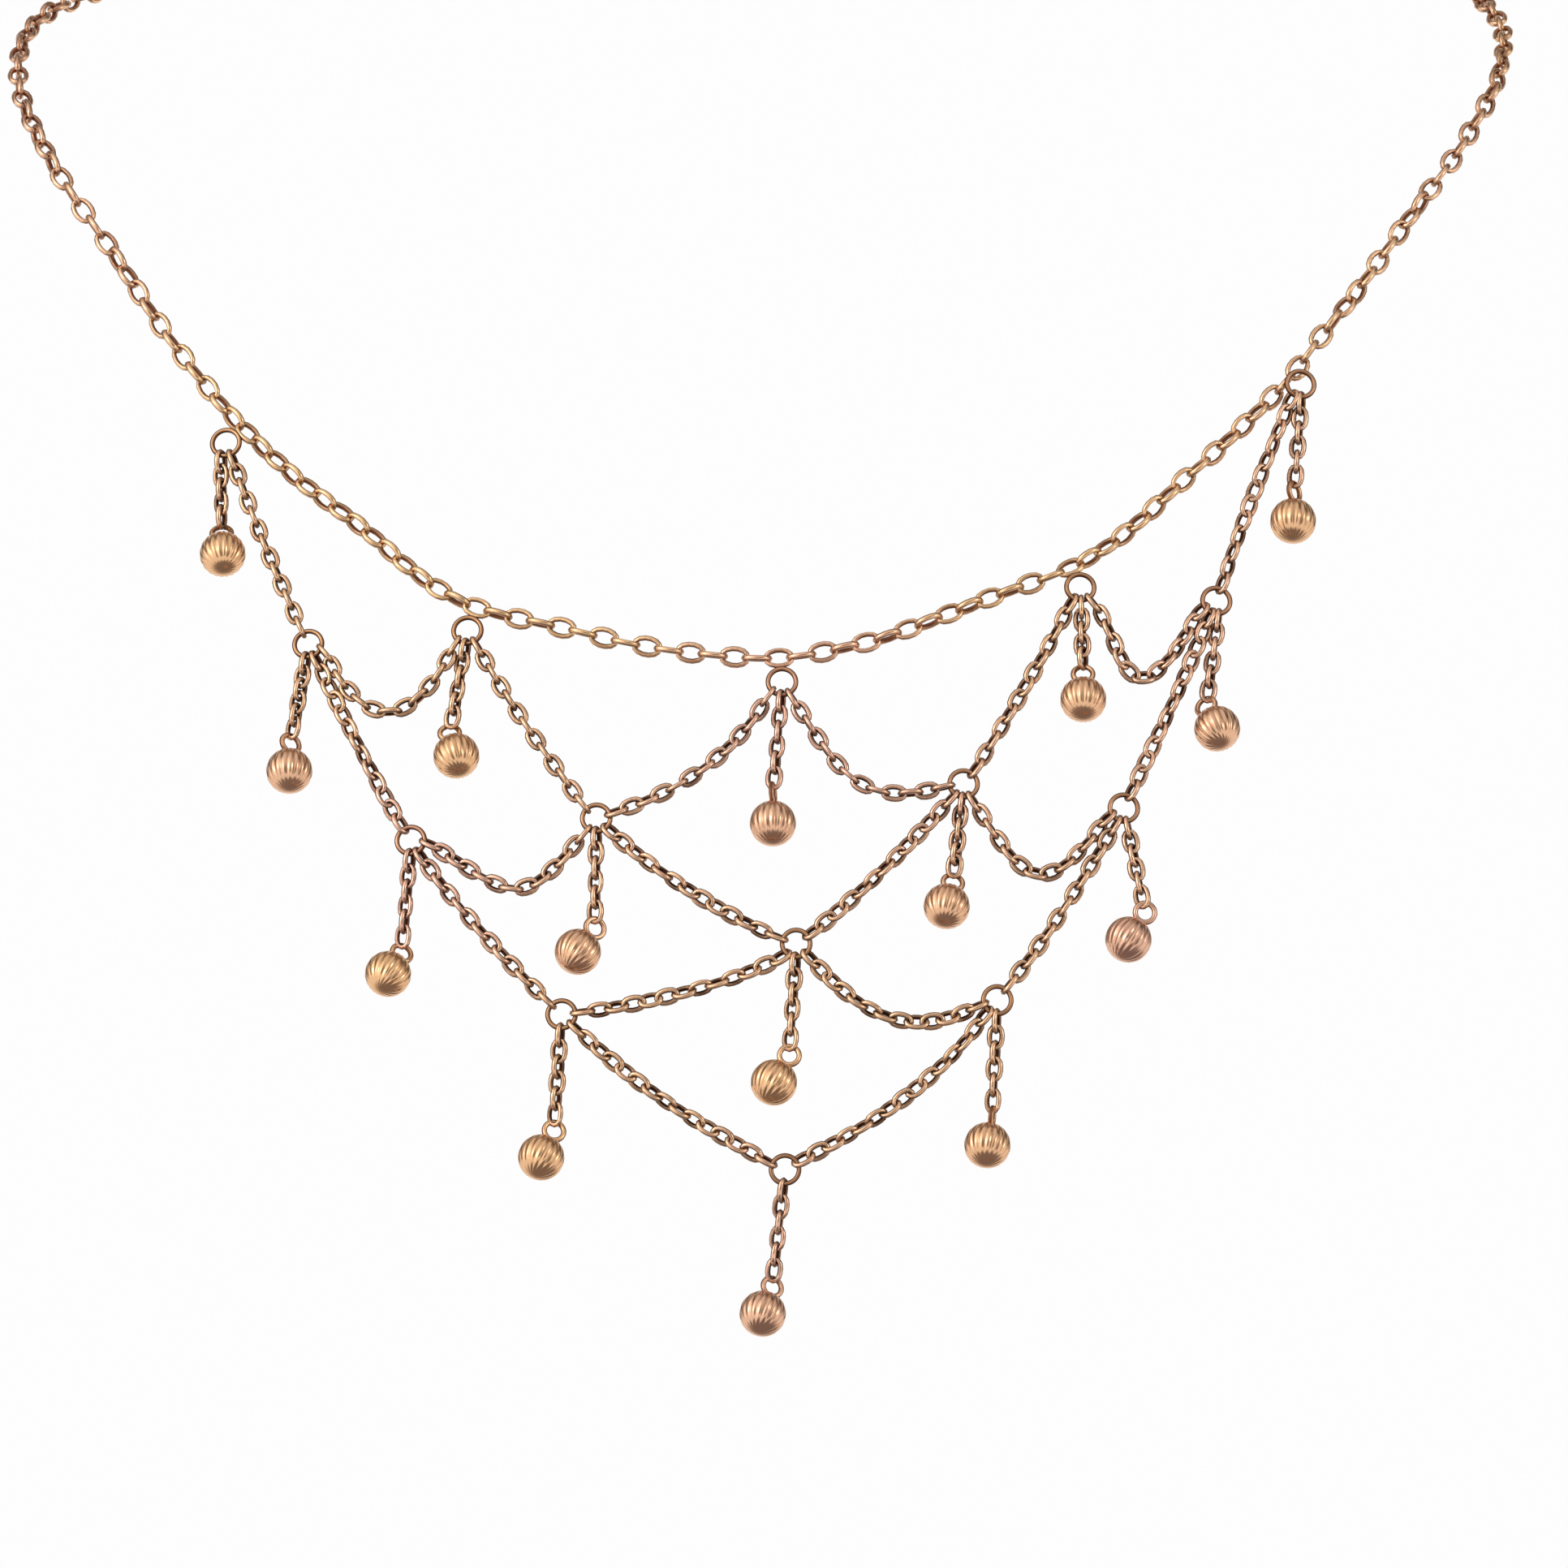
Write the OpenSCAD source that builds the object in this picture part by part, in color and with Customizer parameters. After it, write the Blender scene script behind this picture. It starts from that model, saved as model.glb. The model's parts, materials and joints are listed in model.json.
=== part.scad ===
// Festoon necklace. A trace chain goes round the neck and carries five jump rings soldered
// to its front links. A net of finer chain hangs from them by ten more rings, and a fluted
// ball drops from every ring. The origin is the middle of the neck hollow, +Z is up, and
// the front faces -Y. Millimetres and degrees.

/* [Main chain] */
// Outside length of a link
link_len = 3.14; // [3.12:0.01:3.2]
// Outside width of a link
link_w = 2.1; // [1.9:0.05:2.3]
// Thickness of the link's wire
link_wire = 0.4; // [0.34:0.01:0.41]

/* [Fine chain] */
// Thickness of a strand of fine chain, between its links' width and their wire
strand_d = 0.95; // [0.8:0.05:1]
// Space between the end of a strand and the wire that it hangs on
strand_gap = 0.22; // [0.15:0.01:0.3]

/* [Jump rings] */
// Outside diameter of a jump ring
ring_d = 3.2; // [3:0.05:3.4]
// Thickness of the ring's wire
ring_wire = 0.42; // [0.36:0.01:0.46]
// How far the wires of a link and of the ring soldered to it run into each other
solder = 0.07; // [0.04:0.01:0.12]

/* [Balls] */
// Diameter of a ball over its ridges
ball_d = 4.6; // [4:0.1:5]
// Number of flutes round a ball
flutes = 20; // [16:1:20]
// Depth of a flute at the ball's middle
flute_depth = 0.18; // [0.1:0.01:0.3]
// Outside diameter of the bail, the small ring on top of a ball
bail_d = 2.35; // [2.1:0.05:2.6]
// Thickness of the bail's wire
bail_wire = 0.45; // [0.38:0.01:0.5]
// How far the bail's wire is sunk into the ball
bail_sunk = 0.3; // [0.2:0.02:0.4]

/* [Clasp] */
// Diameter of the barrel
barrel_d = 3.2; // [2.6:0.1:4]
// Length of the barrel between its two domed ends
barrel_len = 6; // [5:0.5:7]
// Outside diameter of the eye at each end
eye_d = 2.4; // [2.2:0.05:2.6]

/* [Worn form] */
// Distance of the lowest front link in front of the origin
front_depth = 48; // [46:1:50]
// Depth of that link below the origin
front_drop = 36; // [35:1:37]
// Radius of the chest across which the front lies
chest_radius = 255; // [240:5:280]
// Slope of the chest from upright, from the lowest front link up
chest_lean = 22; // [18:1:25]
// Radius at which the chest turns upright below that link
chest_round = 180; // [160:5:300]
// Distance of the clasp behind the origin
nape_depth = 42; // [41:0.5:43]
// Height of the clasp above the origin
nape_rise = 37; // [36:0.5:38]

/* [Hidden] */
wire_sides = 24;
link_half = (link_len - link_wire) / 2;
link_half_w = (link_w - link_wire) / 2;
ring_r = (ring_d - ring_wire) / 2;
bail_r = (bail_d - bail_wire) / 2;
ball_r = ball_d / 2;
bail_reach = ball_r - bail_sunk + bail_wire / 2 + bail_r;
eye_r = (eye_d - link_wire) / 2;
solder_step = (link_wire + ring_wire) / 2 - solder;
link_clearance = 0.13;
lean = tan(chest_lean);
gold = [0.80, 0.61, 0.44];

// How far from a ring's middle a strand ends
strand_start = ring_d / 2 + strand_gap;
strand_end = bail_d / 2 + strand_gap;

// How far from the clasp's middle the eyes and the first links lie
eye_x = barrel_len / 2 + barrel_d / 2 + eye_r - link_wire / 4;
clasp_reach = eye_x + eye_r - link_wire - link_clearance + link_half;

// Unit vector along v
function unit(v) = v / norm(v);

// Point of the chest at x and z, its slope there, and the direction straight out of it
function below(z) = min(0, z + front_drop);
function chest(x, z) =
    let (back = x * x / (2 * chest_radius) + lean * (z + front_drop) + pow(below(z), 2) / (2 * chest_round))
    [x, back - front_depth, z];
function chest_slope(z) = lean + below(z) / chest_round;
function chest_out(p) = unit([p.x / chest_radius, -1, chest_slope(p.z)]);

// Direction on the chest at p that looks from the front like a given angle
function chest_along(p, a) =
    unit([cos(a), p.x / chest_radius * cos(a) + chest_slope(p.z) * sin(a), sin(a)]);

// Route of the main chain from the clasp's left eye round the front to its right eye
ROUTE = [
    [-clasp_reach, nape_depth, nape_rise],
    [-20, nape_depth - 1, nape_rise],
    [-38, 37, 36.5],
    [-54, 28.5, 35],
    [-67, 17.5, 32.5],
    [-75, 5, 28.5],
    [-76.5, -7, 22],
    chest(-72.7, 13.5),
    chest(-66.9, 5),
    chest(-61.6, -3),
    chest(-57, -9),
    chest(-53, -13.5),
    chest(-47.5, -18.5),
    chest(-41.5, -23),
    chest(-35.5, -28),
    chest(-30, -31),
    chest(-21.5, -33),
    chest(-15, -34.5),
    chest(-8.5, -35.5),
    chest(0, -front_drop),
    chest(8.5, -34.5),
    chest(14.5, -32.5),
    chest(21, -30),
    chest(29, -27),
    chest(34.5, -23.5),
    chest(40, -18.5),
    chest(45, -14),
    chest(50.5, -8.5),
    chest(54, -4),
    chest(57.6, 0.5) + [0, 0.5, 0],
    chest(62.3, 7) + [0, 1.6, 0],
    chest(65.6, 11.5) + [0, 2.6, 0],
    chest(68.8, 16) + [0, 4, 0],
    [72.5, -6, 23],
    [72.5, 7, 29],
    [66.5, 20, 33.5],
    [54, 30, 35.5],
    [38, 37, 36.5],
    [20, nape_depth - 1, nape_rise],
    [clasp_reach, nape_depth, nape_rise],
];

// Places in ROUTE of the five links that carry rings
CARRIERS = [11, 15, 19, 23, 27];

// Links are numbered from the first carrier, which is 0, with 14 links from each
// carrier to the next
first_link = -67;
carrier_step = 14;
last_link = 121;
middle_link = 28;

// Twist of the main chain: link number, angle about the chain
TWIST = [
    [first_link, -90], [-18, -50], [-15, -10], [-13, -5], [-9, -80], [-3, -80], [0, -30],
    [4, -68], [10, -42], [12, -12], [14, 0], [28, 0], [34, -18], [40, 0], [42, -25], [46, -55],
    [50, -85], [59, -90], [60, -100], [61, -130], [64, -175], [66, -160], [68, -125], [70, -90],
    [last_link, -90],
];

// Rings soldered to the carriers: name, direction from the link seen from the front
CARRIED = [["a1", -158], ["a2", -112], ["a3", -80], ["a4", -73], ["a5", -22]];

// Rings of the net: name, x, z
NET_RINGS = [
    ["b1", -46.8, -34.6],
    ["b2", -18.1, -51.9],
    ["b3", 18.3, -48.5],
    ["b4", 43.5, -30.3],
    ["c1", -36.5, -54.1],
    ["c2", 1.7, -64.3],
    ["c3", 34.2, -50.9],
    ["d1", -21.5, -71.3],
    ["d2", 21.6, -69.9],
    ["e1", 0.6, -86.6],
];

// Swags: the two rings, the angle at which the strand leaves the first, the x and z of the
// two points that draw its curve, and the angle at which it reaches the second
SWAGS = [
    ["a1", "b1", -67, -52.5, -22, -50, -27.5, 116],
    ["a2", "b2", -58, -27.5, -39.5, -22.5, -46.5, 135],
    ["b1", "a2", -27, -39.5, -46.5, -34.5, -39.5, -133],
    ["b2", "a3", 18, -12.5, -50, -5.5, -47.5, -135],
    ["a3", "b3", -57, 6, -47.5, 8, -51, -172],
    ["b3", "a4", 51, 22, -43, 26, -36.5, -121],
    ["a4", "b4", -51, 34.5, -34, 34, -45, -149],
    ["b4", "a5", 70, 46, -22.5, 48.5, -16.5, -122],
    ["b1", "c1", -63, -42.5, -43.5, -38.5, -51, 122],
    ["c1", "b2", -9, -26, -60, -25.5, -61, -128],
    ["b2", "c2", -43, -12, -57.5, -4.5, -62, 160],
    ["c2", "b3", 35, 7.5, -60, 13.5, -54, -131],
    ["b3", "c3", -61, 24.5, -58.5, 26, -60.5, -151],
    ["c3", "b4", 64, 36, -47, 39.5, -40, -114],
    ["c1", "d1", -58, -31, -62, -24.5, -68.5, 136],
    ["d1", "c2", 7, -14.5, -70.5, -5, -68.5, -136],
    ["c2", "d2", -46, 9, -72.5, 14, -73.5, -165],
    ["d2", "c3", 52, 26, -64.5, 29.5, -59, -116],
    ["d1", "e1", -44, -12.5, -80, -6, -83, 156],
    ["e1", "d2", 30, 7.5, -83, 15, -79, -130],
];
strand_rings = 7;
strand_sides = 8;

// Drops: ring, angle at which the strand leaves it, x and z of the ball, direction from the
// ball to its bail seen from the front, how far that end tips back, turn of the bail
DROPS = [
    ["a1", -112, -55.4, -25.6, 94, 50, 0],
    ["a2", -97, -32, -45.7, 107, 44, 10],
    ["a3", -93, -0.6, -52.4, 90, 25, 80],
    ["a4", -86, 30.2, -40.1, 90, 40, 0],
    ["a5", -86, 51.2, -22.3, 87, 28, 55],
    ["b1", -100, -48.6, -47.2, 88, 34, 30],
    ["b2", -90, -19.9, -65.1, 54, 28, 10],
    ["b3", -96, 16.6, -60.6, 75, 42, 0],
    ["b4", -79, 43.5, -43, 116, 42, -10],
    ["c1", -94, -38.7, -67.3, 57, 42, 0],
    ["c2", -93, -0.5, -78, 60, 20, -10],
    ["c3", -78, 34.6, -63.9, 58, 16, 0],
    ["d1", -95, -23.5, -85.4, 64, 28, 0],
    ["d2", -92, 20.6, -84.2, 80, 32, 80],
    ["e1", -97, -1.6, -100.8, 70, 32, 15],
];
ball_proud = 0.6;
ball_bands = 8;

// Smooth curve through the points of ROUTE, with its length up to each point
route_steps = 12;
route_last = len(ROUTE) - 1;
function route_point(i) =
    i < 0 ? 2 * ROUTE[0] - ROUTE[1] :
    i > route_last ? 2 * ROUTE[route_last] - ROUTE[route_last - 1] : ROUTE[i];
function route_curve(i, t) =
    let (p = route_point(i - 1), q = route_point(i), r = route_point(i + 1), s = route_point(i + 2))
    q + t * (r - p) / 2 + t * t * (2 * p - 5 * q + 4 * r - s) / 2
    + t * t * t * (3 * q - p - 3 * r + s) / 2;
CURVE = [
    for (i = [0 : route_last - 1], k = [0 : route_steps - 1]) route_curve(i, k / route_steps),
    ROUTE[route_last],
];
LENGTHS = [
    for (i = 0, s = 0; i < len(CURVE); i = i + 1, s = i < len(CURVE) ? s + norm(CURVE[i] - CURVE[i - 1]) : s) s,
];
CURVE_X = [for (i = [0 : len(CURVE) - 1]) [LENGTHS[i], CURVE[i].x]];
CURVE_Y = [for (i = [0 : len(CURVE) - 1]) [LENGTHS[i], CURVE[i].y]];
CURVE_Z = [for (i = [0 : len(CURVE) - 1]) [LENGTHS[i], CURVE[i].z]];
function chain_at(s) = [lookup(s, CURVE_X), lookup(s, CURVE_Y), lookup(s, CURVE_Z)];
function chain_along(s) = unit(chain_at(s + 0.8) - chain_at(s - 0.8));

// Length along the main chain at which link i lies
LINK_MARKS = concat(
    [[first_link, 0]],
    [for (k = [0 : len(CARRIERS) - 1]) [k * carrier_step, LENGTHS[CARRIERS[k] * route_steps]]],
    [[last_link, LENGTHS[len(LENGTHS) - 1]]]
);

// Direction out of the wearer for a chain at p that runs along t: out of the chest at the
// front, and out of the neck from the shoulders back
neck_from = -20;
neck_to = 0;
function outward(p, t) =
    let (
        share = max(0, min(1, (p.y - neck_from) / (neck_to - neck_from))),
        neck = unit(unit(cross(t, [0, 0, 1])) + [0, 0, lean]),
        way = (1 - share) * chest_out(p) + share * neck
    )
    unit(way - (way * t) * t);

// Frame of link i: middle, long axis, wide axis, and the axis square to the link
function link_frame(i) =
    let (
        s = lookup(i, LINK_MARKS),
        t = chain_along(s),
        out = outward(chain_at(s), t),
        up = cross(out, t),
        a = lookup(i, TWIST) + 90 * (abs(i) % 2)
    )
    [chain_at(s), t, cos(a) * up + sin(a) * out, cos(a) * out - sin(a) * up];

// Middle of a ring that is soldered to carrier k
function carried_middle(k) =
    let (f = link_frame(k * carrier_step))
    f[0] - (link_half_w + solder_step) * f[2] + ring_r * chest_along(f[0], CARRIED[k][1]);

// Every ring: name, middle
RINGS = concat(
    [for (k = [0 : len(CARRIED) - 1]) [CARRIED[k][0], carried_middle(k)]],
    [for (r = NET_RINGS) [r[0], chest(r[1], r[2])]]
);
function ring_middle(name) = RINGS[search([name], RINGS)[0]][1];

// How far a point stands behind the chest
function behind(p) = p.y - chest(p.x, p.z).y;

// Points of a swag, on the chest between the edges of its two rings
function bend(p, q, r, s, t) =
    pow(1 - t, 3) * p + 3 * pow(1 - t, 2) * t * q + 3 * (1 - t) * t * t * r + t * t * t * s;
function swag_points(w) =
    let (
        a = ring_middle(w[0]),
        b = ring_middle(w[1]),
        p = [a.x, a.z] + strand_start * [cos(w[2]), sin(w[2])],
        s = [b.x, b.z] + strand_start * [cos(w[7]), sin(w[7])]
    )
    [
        for (k = [0 : strand_rings])
        let (t = k / strand_rings, q = bend(p, [w[3], w[4]], [w[5], w[6]], s, t))
        chest(q.x, q.y) + [0, (1 - t) * behind(a) + t * behind(b), 0],
    ];

// Frame of a drop's ball: middle, the bail's wide axis, square to the bail, towards the bail
function ball_frame(d) =
    let (
        up = [cos(d[5]) * cos(d[4]), sin(d[5]), cos(d[5]) * sin(d[4])],
        side = unit(cross(up, [0, 1, 0])),
        front = cross(up, side)
    )
    [
        chest(d[2], d[3]) - [0, ball_proud, 0],
        cos(d[6]) * side + sin(d[6]) * front,
        cos(d[6]) * front - sin(d[6]) * side,
        up,
    ];

// Ends of a drop's strand, at its ring and at its bail
function drop_ends(d) =
    let (
        ring = ring_middle(d[0]),
        top = ring + strand_start * chest_along(ring, d[1]),
        f = ball_frame(d),
        bail = f[0] + bail_reach * f[3]
    )
    [top, bail + strand_end * unit(top - bail)];

// Moves a child from the origin to p and turns its axes to x, y and z
module placed(p, x, y, z) {
    multmatrix([
        [x.x, y.x, z.x, p.x],
        [x.y, y.y, z.y, p.y],
        [x.z, y.z, z.z, p.z],
    ])
        children();
}

// Closed ring of round wire, round the Z axis
module wire_ring(r, wire) {
    rotate_extrude($fn = wire_sides)
        translate([r, 0])
            circle(d = wire, $fn = wire_sides);
}

// Oval link of round wire, long along X and flat in XY
module wire_link() {
    straight = link_half - link_half_w;
    for (end = [0, 180])
        rotate(end)
            translate([straight, 0, 0])
                rotate(-90)
                    rotate_extrude(angle = 180, $fn = wire_sides)
                        translate([link_half_w, 0])
                            circle(d = link_wire, $fn = wire_sides);
    for (side = [-1, 1])
        translate([-straight, side * link_half_w, 0])
            rotate([0, 90, 0])
                cylinder(h = 2 * straight, d = link_wire, $fn = wire_sides);
}

// Link i of the main chain where it lies
module chain_link(i) {
    f = link_frame(i);
    placed(f[0], f[1], f[2], f[3])
        wire_link();
}

// Loose links from one number to another, without the ones that carry rings
module chain_run(from, to) {
    color(gold)
        for (i = [from : to])
            if (len([for (k = [0 : len(CARRIERS) - 1]) if (k * carrier_step == i) k]) == 0)
                chain_link(i);
}

module main_chain_left() {
    chain_run(first_link, middle_link);
}

module main_chain_right() {
    chain_run(middle_link, last_link);
}

// Barrel with a domed end and an eye at each side, closed at the nape
module clasp() {
    f = link_frame(first_link);
    out = outward([0, nape_depth, nape_rise], [-1, 0, 0]);
    color(gold)
        placed([0, nape_depth, nape_rise], [1, 0, 0], out, cross([1, 0, 0], out)) {
            rotate([0, 90, 0])
                cylinder(h = barrel_len, d = barrel_d, center = true, $fn = 48);
            for (side = [-1, 1]) {
                translate([side * barrel_len / 2, 0, 0])
                    sphere(d = barrel_d, $fn = 48);
                translate([side * eye_x, 0, 0])
                    wire_ring(eye_r, link_wire);
            }
        }
}

// Jump ring, with the link that it is soldered to where there is one
module jump_ring(k) {
    p = RINGS[k][1];
    out = chest_out(p);
    side = unit(cross(out, [0, 0, 1]));
    color(gold) {
        placed(p, side, cross(out, side), out)
            wire_ring(ring_r, ring_wire);
        if (k < len(CARRIED))
            chain_link(k * carrier_step);
    }
}

// Strand swept along points, with its flat sides square to them
module strand(points) {
    last = len(points) - 1;
    function along(i) = unit(points[min(i + 1, last)] - points[max(i - 1, 0)]);
    rim = [
        for (i = [0 : last])
        let (
            t = along(i),
            out = unit(chest_out(points[i]) - (chest_out(points[i]) * t) * t),
            side = cross(t, out)
        )
        for (k = [0 : strand_sides - 1])
        let (a = 360 * k / strand_sides)
        points[i] + strand_d / 2 * (cos(a) * out + sin(a) * side),
    ];
    walls = [
        for (i = [0 : last - 1], k = [0 : strand_sides - 1])
        let (n = (k + 1) % strand_sides, a = i * strand_sides, b = a + strand_sides)
        for (face = [[a + k, b + k, b + n], [a + k, b + n, a + n]])
        face,
    ];
    start = [for (k = [0 : strand_sides - 1]) k];
    end = [for (k = [strand_sides - 1 : -1 : 0]) last * strand_sides + k];
    polyhedron(points = rim, faces = concat(walls, [start, end]));
}

module swag(w) {
    color(gold)
        strand(swag_points(w));
}

// The strands on which the balls of one row hang
module drop_strands(row) {
    color(gold)
        for (d = DROPS)
            if (d[0][0] == row)
                strand(drop_ends(d));
}

// Ball with flutes from pole to pole, round the Z axis
module fluted_ball() {
    ribs = 2 * flutes;
    band = 180 / (ball_bands + 1);
    rim = [
        for (j = [1 : ball_bands], k = [0 : ribs - 1])
        let (a = j * band, r = ball_r - flute_depth * sin(a) * (k % 2), turn = 360 * k / ribs)
        [r * sin(a) * cos(turn), r * sin(a) * sin(turn), r * cos(a)],
    ];
    top = len(rim);
    bottom = top + 1;
    low = (ball_bands - 1) * ribs;
    walls = [
        for (j = [0 : ball_bands - 2], k = [0 : ribs - 1])
        let (n = (k + 1) % ribs, a = j * ribs, b = a + ribs)
        for (face = [[a + k, a + n, b + n], [a + k, b + n, b + k]])
        face,
    ];
    caps = [
        for (k = [0 : ribs - 1])
        let (n = (k + 1) % ribs)
        for (face = [[top, n, k], [bottom, low + k, low + n]])
        face,
    ];
    polyhedron(
        points = concat(rim, [[0, 0, ball_r], [0, 0, -ball_r]]),
        faces = concat(walls, caps)
    );
}

// Ball with its soldered bail
module ball(d) {
    f = ball_frame(d);
    color(gold)
        placed(f[0], f[1], f[2], f[3]) {
            fluted_ball();
            translate([0, 0, bail_reach])
                rotate([90, 0, 0])
                    wire_ring(bail_r, bail_wire);
        }
}

ROWS = ["a", "b", "c", "d", "e"];

main_chain_left();
main_chain_right();
clasp();
for (k = [0 : len(RINGS) - 1])
    jump_ring(k);
for (d = DROPS)
    ball(d);
for (w = SWAGS)
    swag(w);
for (row = ROWS)
    drop_strands(row);
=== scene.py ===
import json
from math import atan2, cos, pi, radians, sin, tan

import bmesh
import bpy
from mathutils import Matrix, Vector

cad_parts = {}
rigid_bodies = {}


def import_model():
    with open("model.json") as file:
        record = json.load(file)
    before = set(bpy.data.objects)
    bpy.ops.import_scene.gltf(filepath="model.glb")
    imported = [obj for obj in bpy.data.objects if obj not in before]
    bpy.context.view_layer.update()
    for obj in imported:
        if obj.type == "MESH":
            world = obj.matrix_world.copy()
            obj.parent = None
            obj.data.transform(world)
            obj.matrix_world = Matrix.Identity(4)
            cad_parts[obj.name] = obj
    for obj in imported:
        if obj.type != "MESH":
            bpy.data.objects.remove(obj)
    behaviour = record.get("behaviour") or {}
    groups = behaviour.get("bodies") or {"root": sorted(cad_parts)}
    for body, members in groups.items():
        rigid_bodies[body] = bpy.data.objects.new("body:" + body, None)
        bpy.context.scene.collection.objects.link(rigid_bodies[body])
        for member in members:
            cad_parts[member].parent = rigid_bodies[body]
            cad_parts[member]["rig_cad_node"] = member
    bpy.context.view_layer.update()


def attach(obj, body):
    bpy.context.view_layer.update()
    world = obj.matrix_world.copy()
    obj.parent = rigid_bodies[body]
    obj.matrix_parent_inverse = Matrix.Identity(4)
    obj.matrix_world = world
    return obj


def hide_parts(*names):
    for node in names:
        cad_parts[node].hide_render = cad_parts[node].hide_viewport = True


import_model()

# Camera: the necklace is seen straight from the front through a long lens, level with the
# upper part of its net. 156 mm of it fill the width of the picture.
view_distance = 3.0
view_width = 0.1558
view_aside = 0.0005
view_height = -0.0485
net_depth = 0.045
film_width = 36
camera_data = bpy.data.cameras.new("front_camera")
camera_data.sensor_width = film_width
camera_data.lens = film_width * (view_distance - net_depth) / view_width
camera_data.clip_start = 0.1
camera_data.clip_end = 60
camera = bpy.data.objects.new("front_camera", camera_data)
camera.location = (view_aside, -view_distance, view_height)
camera.rotation_euler = (pi / 2, 0, 0)
bpy.context.collection.objects.link(camera)
bpy.context.scene.camera = camera

# Floor: a disc of smooth white board well below the necklace. It is wide enough to fill the
# views from above and ends before it shows in the front view.
MM = 0.001
floor_radius = 3600
floor_drop = 420


def linear(hex_colour):
    """An sRGB hex value as linear red, green, blue and alpha."""
    values = [int(hex_colour[i : i + 2], 16) / 255 for i in (1, 3, 5)]
    return [v / 12.92 if v <= 0.04045 else ((v + 0.055) / 1.055) ** 2.4 for v in values] + [1]


def add_node(tree, kind, settings=(), **sockets):
    """Adds one node with its settings and socket values, or links where a value is a socket."""
    node = tree.nodes.new(kind)
    for name, value in dict(settings).items():
        setattr(node, name, value)
    for name, value in sockets.items():
        socket = node.inputs[int(name[1:])] if name[0] == "_" else node.inputs[name.replace("_", " ")]
        if isinstance(value, bpy.types.NodeSocket):
            tree.links.new(value, socket)
        else:
            socket.default_value = value
    return node


def new_material(name):
    """An empty node material and its tree."""
    material = bpy.data.materials.new(name)
    material.use_nodes = True
    material.node_tree.nodes.clear()
    return material, material.node_tree


def finish_material(tree, shader):
    """Sends a shader to the material's output."""
    add_node(tree, "ShaderNodeOutputMaterial", Surface=shader.outputs[0])


def keep_mesh(bm, name, smooth=True):
    """Turns a bmesh that was built in millimetres into a piece in metres."""
    bmesh.ops.scale(bm, vec=(MM, MM, MM), verts=bm.verts)
    mesh = bpy.data.meshes.new(name)
    bm.to_mesh(mesh)
    bm.free()
    if smooth:
        mesh.shade_smooth()
    piece = bpy.data.objects.new(name, mesh)
    bpy.context.collection.objects.link(piece)
    return piece


# White board is dull, so it spreads the light and throws none of it back as a highlight. Lamps
# behind it make it glow a little.
board, tree = new_material("white_board")
finish_material(
    tree,
    add_node(
        tree,
        "ShaderNodeBsdfPrincipled",
        Base_Color=linear("#F4F4F3"),
        Roughness=0.8,
        Emission_Color=linear("#FFFFFF"),
        Emission_Strength=0.26,
    ),
)
bm = bmesh.new()
bmesh.ops.create_circle(bm, cap_ends=True, segments=96, radius=floor_radius)
bmesh.ops.translate(bm, vec=(0, 0, -floor_drop), verts=bm.verts)
floor = keep_mesh(bm, "floor", smooth=False)
floor.data.materials.append(board)

# Grey card: a round of grey paper lies under the necklace and a little in front, and fades away
# towards its edge. It shows only in the mirror of the metal, where it darkens the undersides of
# the balls and wires. Paper is rough, so it has no shine of its own.
card_middle = Vector((20, -190, -300))
card_radius = 480
card_whole = 200
paper, tree = new_material("grey_paper")
place = add_node(tree, "ShaderNodeTexCoord").outputs["Object"]
off = add_node(tree, "ShaderNodeVectorMath", {"operation": "DISTANCE"}, _0=place, _1=card_middle * MM)
fade = add_node(
    tree,
    "ShaderNodeMapRange",
    {"interpolation_type": "SMOOTHSTEP"},
    Value=off.outputs["Value"],
    From_Min=card_whole * MM,
    From_Max=card_radius * MM,
).outputs["Result"]
paper_shader = add_node(tree, "ShaderNodeBsdfPrincipled", Base_Color=linear("#928A8D"), Roughness=0.9)
clear = add_node(tree, "ShaderNodeBsdfTransparent")
finish_material(
    tree,
    add_node(tree, "ShaderNodeMixShader", _0=fade, _1=paper_shader.outputs[0], _2=clear.outputs[0]),
)
bm = bmesh.new()
bmesh.ops.create_circle(bm, cap_ends=True, segments=48, radius=card_radius)
bmesh.ops.translate(bm, vec=card_middle, verts=bm.verts)
card = keep_mesh(bm, "dark_card", smooth=False)
card.data.materials.append(paper)
card.visible_camera = False
card.visible_shadow = False
card.visible_diffuse = False

# Light tent: white cloth all round, lit from the left, the right, above and behind, with a small
# bright lamp on each side. Low at the front it stays nearly dark, and the metal reflects that.
world = bpy.data.worlds.new("light_tent")
bpy.context.scene.world = world
world.use_nodes = True
tree = world.node_tree
tree.nodes.clear()
direction = add_node(tree, "ShaderNodeTexCoord").outputs["Generated"]

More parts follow.
